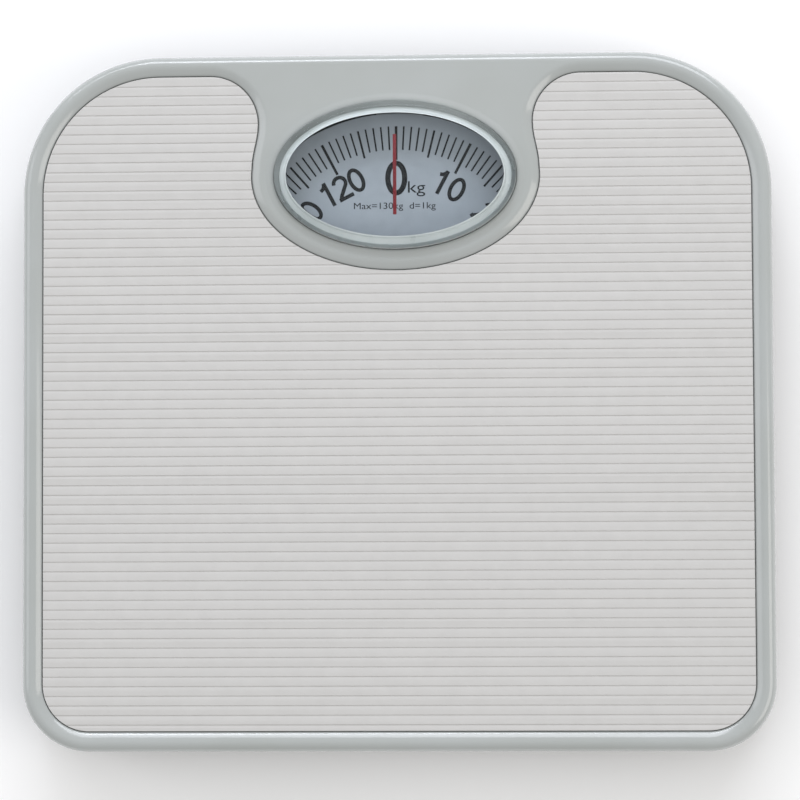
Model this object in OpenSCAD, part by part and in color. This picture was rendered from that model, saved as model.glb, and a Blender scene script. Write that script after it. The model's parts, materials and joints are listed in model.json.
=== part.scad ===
/* [Platform cover] */
// Width of the cover, left to right
cover_w = 280; // [278:1:286]
// Depth of the cover, front to rear
cover_d = 260; // [260:1:264]
// Corner radius at the rear
rear_r = 52; // [46:1:54]
// Corner radius at the front
front_r = 25.5; // [22:0.5:30]
// Height of the skirt's lower edge
skirt_z = 14; // [13:0.5:16]
// Height of the rolled rim's crown
crown_z = 41.5; // [41.5:0.5:43]
// Thickness of the cover sheet
sheet = 1; // [0.8:0.1:1]
// Width of the rolled rim, from the outer edge in to the mat
rim_w = 8.2; // [8:0.2:9]
// Thickness of the ribbed mat
mat_t = 1.7; // [1.4:0.1:1.7]

/* [Window] */
// Distance of the window's middle behind the platform's middle
window_y = 84; // [83:0.5:85]
// Half width of the lens
lens_a = 45; // [43:0.5:45.5]
// Half depth of the lens
lens_b = 27.5; // [26:0.1:27.5]
// Height of the lens's top face
lens_top = 46.5; // [46:0.5:48]
// Length of the pointer
pointer_len = 30; // [24:1:34]
// Width of the pointer
pointer_w = 1.3; // [1:0.1:2]

/* [Base] */
// Gap between the cover's edge and the base's wall
base_inset = 6.5; // [6:0.5:7]
// Height of the feet under the base
foot_h = 4; // [3.5:0.5:4.5]
// Radius of a foot
foot_r = 9; // [7:1:10]
// Thickness of the base sheet
base_t = 0.8; // [0.7:0.1:1]
// Height of the base wall's upper edge
base_top = 20; // [18:1:21]

/* [Levers] */
// Distance of the fulcrum and load pins from the middle, left and right
pin_x = 105; // [100:1:106]
// Distance of the fulcrum pins from the middle, front and rear
fulcrum_y = 103; // [102.5:0.5:103.5]
// Distance from a fulcrum pin to its load pin
load_arm = 25; // [22:1:26]
// Height of the fulcrum and load pins
lever_z = 18; // [17.8:0.1:18.2]
// Thickness of the lever strips
strip_t = 3; // [2.4:0.2:3]
// Radius of the lever pins
pin_r = 1.25; // [1:0.05:1.4]

/* [Dial drive] */
// Travel of the long lever's nose at full load
nose_travel = 8; // [7:0.5:8]
// Distance of the dial's axis behind the middle
dial_y = 43.4; // [43:0.1:44]
// Radius of the dial disc
dial_r = 65; // [62:1:65]
// Pitch radius of the pinion, which makes one full turn
pinion_r = 2; // [1.9:0.05:2.1]
// Number of pinion teeth
pinion_teeth = 10; // [9:1:12]
// Angle that the bell crank turns through at full load
crank_sweep = 45; // [40:1:46]

/* [Zero adjustment] */
// Distance of the spring and adjusting screw behind the middle
spring_y = 119; // [118.8:0.1:119.2]
// Radius of the knurled wheel
wheel_r = 10.5; // [10:0.1:10.5]
// Radius of the adjusting screw
screw_r = 2; // [1.6:0.1:2]

/* [Hidden] */
$fn = 64;

// Heights of the pressed cover
well_z = crown_z - 3;
neck_z = crown_z - 0.3;
floor_z = foot_h + base_t;

// Width of the neck's notch in the mat, and the corner where each lobe of the mat turns in
notch_a = lens_a + 8.9;
notch_b = lens_b + 7.9;
lobe_x = 69.3;
lobe_r = 18;

// Base outline
base_w = cover_w - 2 * base_inset;
base_d = cover_d - 2 * (base_inset - 3);

// Feet and springs between base and cover
foot_x = 118;
foot_y = 90;
cover_spring_x = 80;
cover_spring_r = 3.6;
cover_wire_r = 0.45;
hook_z = floor_z + 2.6;
lug_z = well_z - sheet - 2.6;

// Levers: the load pins, the nose pin of the short lever, and the clearances round pins
load_y = fulcrum_y - load_arm;
arm_h = 9;
tongue_h = 5.2;
short_nose_z = 12;
short_nose_x = 7;
bend_y = 70;
fork_y = -30;
ear_t = 1.2;
pin_gap = 0.55;
link_x = 3.6;

// Calibrating plate, spring and screw
plate_z = 21.4;
plate_t = 1.5;
ear_low = 14.8;
hanger_z = 31;
hanger_t = 2.2;
tower_z = 34;
tower_t = 1.5;
tower_x = 13;
wheel_z = floor_z + 0.5;
wheel_h = 5;
main_spring_r = 5.2;
main_wire_r = 0.83;

// Bell crank: its two arms are as long as the nose travel and one turn of the pinion ask for
crank_x = 8;
crank_t = 1.5;
crank_y = 96;
crank_z = 11;
rack_travel = 2 * PI * pinion_r;
low_arm = nose_travel / 2 / sin(crank_sweep / 2);
high_arm = rack_travel / 2 / sin(crank_sweep / 2);
tip_y = crank_y + low_arm * cos(crank_sweep / 2);
tip_z = crank_z + nose_travel / 2;
drive_y = crank_y - rack_travel / 2;
drive_z = crank_z + high_arm * cos(crank_sweep / 2);
drive_r = 0.9;
tip_r = 1.5;
lug_gap = 0.6;

// Rack and pinion: stub teeth, cut to run without undercut
tooth_pitch = 2 * PI * pinion_r / pinion_teeth;
pressure_angle = 20;
rack_addendum = 0.2;
pinion_addendum = 0.28;
tooth_backlash = 0.1;
rack_z = 26;
rack_t = 1.5;
rack_back = 6.2;
rack_front_y = 27;
pinion_z = 25.5;
pinion_h = 3.1;
shaft_r = 1;
bridge_z = 21.6;
bridge_t = 1.5;
bridge_x = 20;
dial_z = 31.5;
dial_t = 0.5;

// Running clearance of a shaft in its bore
running = 0.05;
// Clearance of a fixed pin or rivet in its hole
fixed = 0.03;

// Points of an arc about c, from angle a0 to a1
function arc(c, r, a0, a1, n) = [
    for (i = [0 : n]) c + r * [cos(a0 + (a1 - a0) * i / n), sin(a0 + (a1 - a0) * i / n)]
];
// Points of an ellipse arc about c
function oval_arc(c, a, b, a0, a1, n) = [
    for (i = [0 : n]) c + [a * cos(a0 + (a1 - a0) * i / n), b * sin(a0 + (a1 - a0) * i / n)]
];
// Point of the involute of a base circle, unrolled by angle t
function involute(r, t) = r * [cos(t) + t * PI / 180 * sin(t), sin(t) - t * PI / 180 * cos(t)];
function turned(p, a) = [p[0] * cos(a) - p[1] * sin(a), p[0] * sin(a) + p[1] * cos(a)];

// Outline of the scale, with wider corners at the rear, pulled in by inset
module plan(w, d, inset = 0, rr = rear_r, fr = front_r) {
    x = w / 2 - inset;
    y = d / 2 - inset;
    r = rr - inset;
    f = fr - inset;
    polygon([
        [x, f - y], [x, y - r], [x - r, y], [r - x, y],
        [-x, y - r], [-x, f - y], [f - x, -y], [x - f, -y]
    ]);
    for (s = [-1, 1]) {
        translate([s * (x - r), y - r]) circle(r = r);
        translate([s * (x - f), f - y]) circle(r = f);
    }
}

// A wall section swept round the outline; its X is the distance in from the edge, its Y the height
module swept(w, d, rr = rear_r, fr = front_r) {
    x = w / 2;
    y = d / 2;
    for (s = [0, 1]) mirror([s, 0, 0]) {
        translate([x, y - rr, 0]) rotate([90, 0, 0]) linear_extrude(d - rr - fr)
            mirror([1, 0]) children();
        translate([x - rr, y - rr, 0]) rotate_extrude(angle = 90)
            translate([rr, 0]) mirror([1, 0]) children();
        translate([x - fr, fr - y, 0]) rotate([0, 0, -90]) rotate_extrude(angle = 90)
            translate([fr, 0]) mirror([1, 0]) children();
    }
    translate([rr - x, y, 0]) rotate([90, 0, 90]) linear_extrude(w - 2 * rr) mirror([1, 0]) children();
    translate([x - fr, -y, 0]) rotate([90, 0, -90]) linear_extrude(w - 2 * fr) mirror([1, 0]) children();
}

// The notch between the mat's lobes: half an oval round the lens that opens to the rear
module notch(grow = 0) {
    side = concat(
        oval_arc([0, window_y], notch_a + grow, notch_b + grow, -90, 5, 17),
        arc([lobe_x, cover_d / 2 - rim_w - lobe_r], lobe_r - grow, 180, 90, 8),
        [[lobe_x, cover_d]]
    );
    for (s = [0, 1]) mirror([s, 0]) polygon(concat(side, [[0, cover_d]]));
}

module oval(grow = 0) {
    polygon(oval_arc([0, window_y], lens_a + grow, lens_b + grow, 0, 355, 71));
}

module at_corners(x, y) {
    for (sx = [-1, 1], sy = [-1, 1]) translate([sx * x, sy * y, 0]) children();
}

// A solid cylinder along X, centred on x
module cross_pin(x, y, z, r, length) {
    translate([x - length / 2, y, z]) rotate([0, 90, 0]) cylinder(r = r, h = length);
}

// Plan of a strip from point a to point b, with round ends
module strip(a, b, t = strip_t) {
    v = b - a;
    translate(a) rotate(atan2(v[1], v[0])) translate([0, -t / 2]) square([norm(v), t]);
    for (p = [a, b]) translate(p) circle(d = t);
}

// A rivet or screw on the Z axis, clamping everything between low and high
module rivet(low, high, r = 1.4, head_r = 2.6, head = 0.9) {
    translate([0, 0, low - head]) cylinder(r = head_r, h = head);
    translate([0, 0, low]) cylinder(r = r, h = high - low);
    translate([0, 0, high]) cylinder(r1 = head_r, r2 = head_r - 0.7, h = head);
}

// A round wire wound about the Z axis
module coil(r, wire, low, high, turns, steps = 14, sides = 6) {
    n = turns * steps;
    points = [
        for (i = [0 : n], j = [0 : sides - 1])
            let (a = 360 * i / steps, b = 360 * j / sides, q = r + wire * cos(b))
            [q * cos(a), q * sin(a), low + (high - low) * i / n + wire * sin(b)]
    ];
    wall = [
        for (i = [0 : n - 1], j = [0 : sides - 1])
            let (k = (j + 1) % sides)
            [i * sides + j, i * sides + k, (i + 1) * sides + k, (i + 1) * sides + j]
    ];
    ends = [[for (j = [sides - 1 : -1 : 0]) j], [for (j = [0 : sides - 1]) n * sides + j]];
    polyhedron(points, concat(wall, ends));
}

// ---------- Base ----------

// Where the parts that stand on the base are screwed or riveted down
post_rivet_y = 8.5;
bridge_screws_xy = [[bridge_x + 5, dial_y - 4], [bridge_x + 5, dial_y + 4]];
tower_screw = [tower_x + 5.5, spring_y];
crank_rivet_y = [crank_y - 6, crank_y - 1.5];
crank_rivet_x = crank_x + 5.4;

module base_holes() {
    at_corners(foot_x, foot_y) circle(r = 3.1);
    at_corners(pin_x, fulcrum_y) for (s = [-1, 1]) translate([0, s * post_rivet_y]) circle(r = 1.45);
    for (s = [-1, 1]) {
        for (p = bridge_screws_xy) translate([s * p[0], p[1]]) circle(r = 1.45);
        translate([s * tower_screw[0], tower_screw[1]]) circle(r = 1.45);
    }
    for (y = crank_rivet_y) translate([crank_rivet_x, y]) circle(r = 1.45);
}

// Pressed stiffening beads, standing up from the floor
bead_h = 1.4;
module bead_lines(t) {
    strip([-62, -112], [62, -112], t);
    for (s = [-1, 1]) {
        strip([s * 124, -52], [s * 124, 46], t);
        strip([s * 56, -92], [s * 56, -50], t);
        strip([s * 46, 72], [s * 46, 112], t);
    }
}

module base_pan() {
    base_rr = rear_r - base_inset;
    base_fr = front_r - base_inset + 1;
    bend = 3.5;
    color("dimgray") difference() {
        union() {
            swept(base_w, base_d, base_rr, base_fr) polygon(concat(
                [[-1.2, base_top], [-1.2, base_top - base_t]],
                [[0, base_top - base_t]],
                arc([bend, foot_h + bend], bend, 180, 270, 4),
                [[bend + 4, foot_h], [bend + 4, floor_z]],
                arc([bend, foot_h + bend], bend - base_t, 270, 180, 4),
                [[base_t, base_top]]
            ));
            translate([0, 0, foot_h]) linear_extrude(base_t) plan(base_w, base_d, bend + 2, base_rr, base_fr);
            translate([0, 0, foot_h]) linear_extrude(base_t + bead_h) bead_lines(7);
        }
        translate([0, 0, foot_h - 1]) linear_extrude(1 + bead_h) bead_lines(5.4);
        translate([0, 0, foot_h - 1]) linear_extrude(base_t + 2) base_holes();
        translate([-wheel_r + 0.5, base_d / 2 - 4.3, floor_z + 0.1])
            cube([2 * wheel_r - 1, 6, wheel_h + 1.1]);
    }
}

module foot(x, y) {
    color("#2b2b2c") translate([x, y, 0]) rotate_extrude() polygon([
        [0, 0], [foot_r - 0.8, 0], [foot_r, 0.8], [foot_r - 0.6, foot_h], [3, foot_h],
        [3, floor_z + 0.05], [4.6, floor_z + 0.05], [3.4, floor_z + 1.7], [0, floor_z + 1.7]
    ]);
}

// Side view of an ear with a notch for a pin; the notch opens up or down
module notched_ear(low, high, w, up) {
    mouth = up ? high - lever_z : lever_z - low;
    r = pin_r + 0.3;
    difference() {
        translate([-w / 2, low]) square([w, high - low]);
        translate([0, lever_z]) circle(r = r);
        translate([0, lever_z]) mirror([0, up ? 0 : 1])
            polygon([[-r, 0], [r, 0], [r + 1.2, mouth + 1], [-r - 1.2, mouth + 1]]);
    }
}

ear_x = strip_t / 2 + 1.3;
module ears(low, high, w, up) {
    for (s = [-1, 1]) translate([s * (ear_x + 0.75) - 0.75, 0, 0])
        rotate([90, 0, 90]) linear_extrude(1.5) notched_ear(low, high, w, up);
}

// Fulcrum post: a folded steel clevis on the base
module post(x, y) {
    color("silver") translate([x, y, 0]) difference() {
        union() {
            ears(floor_z, lever_z + 4, 10, true);
            translate([-ear_x - 1.5, -12, floor_z]) cube([2 * ear_x + 3, 24, 1.5]);
        }
        for (s = [-1, 1]) translate([0, s * post_rivet_y, floor_z - 1]) cylinder(r = 1.45, h = 4);
    }
}

module post_rivets() {
    color("gainsboro") at_corners(pin_x, fulcrum_y)
        for (s = [-1, 1]) translate([0, s * post_rivet_y, 0]) rivet(foot_h, floor_z + 1.5, 1.4, 2.4);
}

module spring_tab(high) {
    rotate([90, 0, 0]) translate([0, 0, -0.6]) linear_extrude(1.2) difference() {
        union() {
            translate([-3.5, high ? 2 : -2.6]) square([7, 0.6 + (high ? 0 : 0.4)]);
            translate([-3, high ? -1 : -2.6]) square([6, 3.6]);
            translate([0, high ? -1 : 1]) circle(r = 3);
        }
        circle(r = 1.1);
    }
}

module base_spring_hooks() {
    color("silver") for (s = [-1, 1]) translate([s * cover_spring_x, 0, hook_z]) spring_tab(false);
}

module dial_bridge() {
    leg_y = 7;
    foot_w = 9;
    color("silver") difference() {
        union() {
            translate([-bridge_x, dial_y - leg_y, bridge_z]) cube([2 * bridge_x, 2 * leg_y, bridge_t]);
            translate([1, 9, bridge_z]) cube([9, dial_y - 9, bridge_t]);
            translate([1, 9, bridge_z]) cube([9, bridge_t, rack_z + 3.5 - bridge_z]);
            for (s = [0, 1]) mirror([s, 0, 0]) {
                translate([bridge_x - bridge_t, dial_y - leg_y, floor_z])
                    cube([bridge_t, 2 * leg_y, bridge_z + bridge_t - floor_z]);
                translate([bridge_x - bridge_t, dial_y - leg_y, floor_z]) cube([foot_w, 2 * leg_y, bridge_t]);
            }
        }
        translate([0, dial_y, bridge_z - 1]) cylinder(r = 3.5 + fixed, h = 4);
        for (s = [-1, 1], p = bridge_screws_xy)
            translate([s * p[0], p[1], floor_z - 1]) cylinder(r = 1.45, h = 4);
        translate([5, 8, rack_z + rack_t / 2]) rotate([-90, 0, 0]) cylinder(r = 0.8, h = 4);
    }
}

module bridge_screws() {
    color("gainsboro") for (s = [-1, 1], p = bridge_screws_xy)
        translate([s * p[0], p[1], 0]) rivet(foot_h, floor_z + bridge_t, 1.4, 2.6, 1);
}

module dial_bearing() {
    bush_low = bridge_z - 0.4;
    bush_high = pinion_z - 0.2;
    color("#b08d4c") translate([0, dial_y, 0]) rotate_extrude() polygon([
        [shaft_r + running, bush_low], [3.5, bush_low], [3.5, bridge_z + bridge_t],
        [5, bridge_z + bridge_t], [5, bridge_z + bridge_t + 0.8], [3.2, bridge_z + bridge_t + 0.8],
        [2.6, bush_high], [shaft_r + running, bush_high]
    ]);
}

// A channel beside the pinion that keeps the rack in mesh
module rack_guide() {
    back = rack_back + 0.3;
    color("white") translate([0, dial_y + 5, 0]) rotate([90, 0, 0]) linear_extrude(10) polygon([
        [back + 1.5, bridge_z + bridge_t], [back + 1.5, rack_z + rack_t + 1.1], [4.6, rack_z + rack_t + 1.1],
        [4.6, rack_z + rack_t + 0.3], [back, rack_z + rack_t + 0.3], [back, rack_z - 0.3],
        [5.3, rack_z - 0.3], [5.3, bridge_z + bridge_t]
    ]);
}

module rack_spring() {
    color("silver") translate([5, 11.5, rack_z + rack_t / 2]) rotate([-90, 0, 0])
        coil(1.5, 0.3, 0.5, 15, 16, 10, 5);
}

module crank_bracket() {
    wall = 1;
    color("silver") difference() {
        union() {
            for (x = [crank_x - 2.4, crank_x + 1.4]) translate([x, crank_y - 3.5, floor_z])
                cube([wall, 7, crank_z + 3 - floor_z]);
            translate([crank_x - 2.4, crank_y - 8.5, floor_z]) cube([10, 5.5, wall]);
            translate([crank_x + 1.4, crank_y - 8.5, floor_z]) cube([6.2, 12, wall]);
        }
        cross_pin(crank_x, crank_y, crank_z, pin_r + fixed, 10);
        for (y = crank_rivet_y) translate([crank_rivet_x, y, floor_z - 1]) cylinder(r = 1.45, h = 3);
    }
}

module crank_pin() {
    color("gainsboro") cross_pin(crank_x, crank_y, crank_z, pin_r, 6.4);
}

module crank_rivets() {
    color("gainsboro") for (y = crank_rivet_y)
        translate([crank_rivet_x, y, 0]) rivet(foot_h, floor_z + 1, 1.4, 2.1, 0.8);
}

module spring_tower() {
    depth = 7.6;
    color("silver") difference() {
        union() {
            translate([-tower_x - tower_t, spring_y - depth / 2, tower_z])
                cube([2 * (tower_x + tower_t), depth, tower_t]);
            for (s = [0, 1]) mirror([s, 0, 0]) {
                translate([tower_x, spring_y - depth / 2, floor_z])
                    cube([tower_t, depth, tower_z - floor_z + 1]);
                translate([tower_x, spring_y - depth / 2, floor_z]) cube([9, depth, tower_t]);
            }
        }
        translate([0, spring_y, tower_z - 1]) cylinder(r = screw_r + running, h = 4);
        for (s = [-1, 1])
            translate([s * tower_screw[0], tower_screw[1], floor_z - 1]) cylinder(r = 1.45, h = 4);
    }
}

module tower_screws() {
    color("gainsboro") for (s = [-1, 1])
        translate([s * tower_screw[0], tower_screw[1], 0]) rivet(foot_h, floor_z + tower_t, 1.4, 2.6, 1);
}

// Hold-down spring between the base's hook and the cover's lug
module cover_spring(side) {
    color("silver") translate([side * cover_spring_x, 0, 0])
        coil(cover_spring_r, cover_wire_r, hook_z + 5, lug_z - 5, 13, 12, 5);
}

// ---------- Zero adjustment ----------

module zero_wheel() {
    knurls = 40;
    color("#3a3a3c") translate([0, spring_y, wheel_z]) difference() {
        union() {
            linear_extrude(wheel_h) difference() {
                circle(r = wheel_r);
                for (i = [0 : knurls - 1])
                    rotate(i * 360 / knurls) translate([wheel_r + 0.15, 0]) circle(r = 0.55, $fn = 12);
            }
            translate([0, 0, wheel_h]) cylinder(r = 4.2, h = 1.4);
        }
        translate([0, 0, wheel_h - 1.2]) difference() {
            cylinder(r = wheel_r - 2, h = 2);
            cylinder(r = 4.2, h = 3);
        }
        translate([0, 0, -1]) cylinder(r = screw_r + fixed, h = wheel_h + 4);
    }
}

module adjusting_screw() {
    thread_low = 24;
    thread_high = tower_z - 0.4;
    groove = 0.5;
    thread_turns = floor((thread_high - thread_low) / (2 * groove));
    color("silver") translate([0, spring_y, 0]) difference() {
        translate([0, 0, wheel_z]) cylinder(r = screw_r, h = tower_z + tower_t + 0.8 - wheel_z);
        for (i = [0 : thread_turns - 1]) translate([0, 0, thread_low + 2 * groove * i])
            rotate_extrude() polygon([[screw_r + 1, -1], [screw_r - 0.25, 0.2], [screw_r + 1, 1.4]]);
    }
}

module screw_clip() {
    color("gainsboro") translate([0, spring_y, tower_z + tower_t + 0.1]) difference() {
        cylinder(r = 3.6, h = 0.6);
        translate([0, 0, -1]) cylinder(r = screw_r + fixed, h = 3);
        translate([0, -0.9, -1]) cube([5, 1.8, 3]);
    }
}

// The nut that carries the main spring; its wings slide along the tower's legs
module spring_hanger() {
    color("#b08d4c") translate([0, spring_y, hanger_z]) difference() {
        union() {
            cylinder(r = 7, h = hanger_t);
            translate([-tower_x + 0.3, -2, 0]) cube([2 * tower_x - 0.6, 4, hanger_t]);
        }
        translate([0, 0, -1]) cylinder(r = screw_r + running, h = 5);
    }
}

module main_spring() {
    color("gray") translate([0, spring_y, 0])
        coil(main_spring_r, main_wire_r, plate_z + plate_t + 0.88, hanger_z - 0.88, 3.5, 20, 8);
}

module calibrating_plate() {
    lug_low = tip_z + tip_r + lug_gap;
    color("silver") difference() {
        union() {
            translate([-8, fulcrum_y - 3, plate_z]) cube([17.6, 13, plate_t]);
            translate([-6.1, fulcrum_y + 9, plate_z]) cube([12.2, spring_y - fulcrum_y - 9, plate_t]);
            translate([0, spring_y, plate_z]) cylinder(r = 6.1, h = plate_t);
            for (x = [-link_x, link_x]) translate([x - ear_t / 2, fulcrum_y - 3.4, ear_low])
                cube([ear_t, 6.8, plate_z - ear_low + 0.5]);
            translate([6.6, tip_y - 0.3, lug_low]) cube([2.8, 2.6, plate_z - lug_low + 0.5]);
        }
        cross_pin(0, fulcrum_y, lever_z, pin_r + pin_gap, 12);
        translate([0, spring_y, plate_z - 1]) cylinder(r = screw_r + 0.6, h = 4);
    }
}

// ---------- Levers ----------

module pair(y, length = 10.4) {
    for (s = [-1, 1]) cross_pin(s * pin_x, y, lever_z, pin_r, length);
}

module long_lever() {
    color("#8d9298") difference() {
        union() {
            translate([0, 0, lever_z - arm_h / 2]) linear_extrude(arm_h) for (s = [-1, 1]) {
                strip([s * pin_x, -fulcrum_y - 5], [s * pin_x, -bend_y]);
                strip([s * pin_x, -bend_y], [0, fork_y]);
            }
            translate([0, 0, lever_z - tongue_h / 2]) linear_extrude(tongue_h)
                strip([0, fork_y], [0, fulcrum_y + 1.6], 2.5);
            translate([0, 0, lever_z + arm_h / 2 - 1.5]) linear_extrude(1.5)
                polygon([[-24, fork_y - 9], [24, fork_y - 9], [1.25, fork_y + 3], [-1.25, fork_y + 3]]);
        }
        for (y = [-fulcrum_y, -load_y]) for (s = [-1, 1]) cross_pin(s * pin_x, y, lever_z, pin_r + fixed, 6);
        for (y = [0, fulcrum_y]) cross_pin(0, y, lever_z, pin_r + fixed, 6);
    }
}

module long_fulcrum_pins() { color("gainsboro") pair(-fulcrum_y); }
module long_load_pins() { color("gainsboro") pair(-load_y); }
module long_nose_pin() { color("gainsboro") cross_pin(0, fulcrum_y, lever_z, pin_r, 9.6); }
module link_pin() { color("gainsboro") cross_pin(0, 0, lever_z, pin_r, 9.6); }

// Side view of the short lever's slanting arm, from its bend to its nose
module slanting_arm(side) {
    a = [side * pin_x, bend_y];
    v = [side * short_nose_x, 0] - a;
    translate(a) rotate([0, 0, atan2(v[1], v[0])]) rotate([90, 0, 0])
        translate([0, 0, 0.15 - strip_t / 2]) linear_extrude(strip_t - 0.3) polygon([
            [0, lever_z - arm_h / 2 + 0.2], [norm(v), short_nose_z - 1.8], [norm(v), short_nose_z + 1.7],
            [0, lever_z + arm_h / 2 - 0.2]
        ]);
}

module short_lever() {
    color("#8d9298") difference() {
        union() {
            translate([0, 0, lever_z - arm_h / 2]) linear_extrude(arm_h) for (s = [-1, 1])
                strip([s * pin_x, fulcrum_y + 5], [s * pin_x, bend_y]);
            for (s = [-1, 1]) slanting_arm(s);
            translate([0, 0, short_nose_z - 2]) linear_extrude(3.9) {
                for (s = [-1, 1]) strip([s * short_nose_x, 0], [s * short_nose_x, -7]);
                strip([-short_nose_x, -7], [short_nose_x, -7]);
            }
        }
        for (y = [fulcrum_y, load_y]) for (s = [-1, 1]) cross_pin(s * pin_x, y, lever_z, pin_r + fixed, 6);
        cross_pin(0, 0, short_nose_z, pin_r + fixed, 20);
    }
}

module short_fulcrum_pins() { color("gainsboro") pair(fulcrum_y); }
module short_load_pins() { color("gainsboro") pair(load_y); }
module short_nose_pin() {
    color("gainsboro") cross_pin(0, 0, short_nose_z, pin_r, 2 * short_nose_x + strip_t + 1);
}

// Stirrup that hangs from the long lever and carries the short lever's nose
module lever_link() {
    top = lever_z + 4;
    color("silver") difference() {
        union() {
            for (x = [-link_x, link_x]) translate([x - ear_t / 2, -4, short_nose_z - 2.8])
                cube([ear_t, 8, top + ear_t - short_nose_z + 2.8]);
            translate([-link_x, -4, top]) cube([2 * link_x, 8, ear_t]);
        }
        for (z = [lever_z, short_nose_z]) cross_pin(0, 0, z, pin_r + pin_gap, 12);
    }
}

// ---------- Dial drive ----------

module bell_crank() {
    color("#b08d4c") translate([crank_x - crank_t / 2, 0, 0]) rotate([90, 0, 90]) linear_extrude(crank_t)
        difference() {
            union() {
                strip([crank_y, crank_z], [tip_y, tip_z], 2 * tip_r);
                strip([crank_y, crank_z], [drive_y, drive_z], 2.8);
                translate([crank_y, crank_z]) circle(r = 2.8);
            }
            translate([crank_y, crank_z]) circle(r = pin_r + running);
            translate([drive_y, drive_z]) circle(r = drive_r + fixed);
        }
}

module crank_drive_pin() {
    color("gainsboro") translate([rack_back - 1.3, drive_y, drive_z]) rotate([0, 90, 0])
        cylinder(r = drive_r, h = crank_x + crank_t / 2 + 0.3 - rack_back + 1.3);
}

// One rack tooth, pointing to -X, centred on y = 0; the pitch line is at x = 0
module rack_tooth() {
    half = (tooth_pitch - tooth_backlash) / 4;
    slope = tan(pressure_angle);
    root = pinion_addendum + 0.2;
    polygon([
        [root, -half - root * slope], [-rack_addendum, -half + rack_addendum * slope],
        [-rack_addendum, half - rack_addendum * slope], [root, half + root * slope]
    ]);
}

module drive_rack() {
    root = pinion_r + pinion_addendum + 0.18;
    teeth = pinion_teeth + 4;
    slot = [2 * drive_r + 0.5, 4.2];
    color("#c8c9c4") difference() {
        union() {
            translate([0, 0, rack_z]) linear_extrude(rack_t) {
                translate([root, rack_front_y]) square([rack_back - root, drive_y + 3 - rack_front_y]);
                for (i = [-1 : teeth - 2]) translate([pinion_r, dial_y - i * tooth_pitch]) rack_tooth();
            }
            translate([rack_back - 1, drive_y - 2.6, drive_z - 2.6]) cube([1, 5.2, 6]);
        }
        translate([rack_back - 2, drive_y - slot[0] / 2, drive_z - 1.5]) cube([3, slot[0], slot[1]]);
        translate([root - 1, drive_y - slot[0] / 2, drive_z - 1.5]) cube([2, slot[0], slot[1]]);
        translate([5, rack_front_y + 1.8, rack_z - 1]) cylinder(r = 0.8, h = 4);
    }
}

// Half outline of a pinion tooth: a radial root, then an involute flank up to the tip circle
pinion_base = pinion_r * cos(pressure_angle);
flank_unroll = [
    for (i = [0 : 4]) 180 / PI * sqrt(pow((pinion_r + pinion_addendum * i / 4) / pinion_base, 2) - 1)
];
flank_start = 180 / PI * tan(pressure_angle) - pressure_angle;
half_tooth = (tooth_pitch - tooth_backlash) / 4 / pinion_r * 180 / PI;

module pinion_tooth() {
    root_r = pinion_r - rack_addendum - 0.15;
    flank = concat(
        [turned([root_r - 0.1, 0], -half_tooth - flank_start)],
        [turned([pinion_base, 0], -half_tooth - flank_start)],
        [for (t = flank_unroll) turned(involute(pinion_base, t), -half_tooth - flank_start)]
    );
    mirrored = [for (i = [len(flank) - 1 : -1 : 0]) [flank[i][0], -flank[i][1]]];
    polygon(concat(flank, mirrored));
}

module dial_pinion() {
    root_r = pinion_r - rack_addendum - 0.15;
    color("#b08d4c") translate([0, dial_y, pinion_z]) linear_extrude(pinion_h) difference() {
        union() {
            circle(r = root_r);
            for (i = [0 : pinion_teeth - 1]) rotate((i + 0.5) * 360 / pinion_teeth) pinion_tooth();
        }
        circle(r = shaft_r + fixed);
    }
}

module dial_shaft() {
    low = bridge_z - 0.3;
    color("silver") translate([0, dial_y, low]) cylinder(r = shaft_r, h = dial_z + dial_t + 0.6 - low);
}

module dial_hub() {
    color("#d8d8d4") translate([0, dial_y, 0]) rotate_extrude() polygon([
        [shaft_r + fixed, pinion_z + pinion_h + 0.1], [3.4, pinion_z + pinion_h + 0.1], [3.4, dial_z - 1.2],
        [9, dial_z - 1.2], [9, dial_z], [shaft_r + fixed, dial_z]
    ]);
}

module dial_disc() {
    color("#a2a8b2") translate([0, dial_y, dial_z]) difference() {
        cylinder(r = dial_r, h = dial_t, $fn = 128);
        translate([0, 0, -1]) cylinder(r = shaft_r + fixed, h = 3);
    }
}

module dial_cap() {
    low = dial_z + dial_t;
    color("silver") translate([0, dial_y, 0]) rotate_extrude() polygon([
        [0, low + 0.65], [shaft_r + fixed, low + 0.65], [shaft_r + fixed, low], [3.4, low], [3.4, low + 0.7],
        [2.6, low + 1.4], [0, low + 1.4]
    ]);
}

// ---------- Platform ----------

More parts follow.
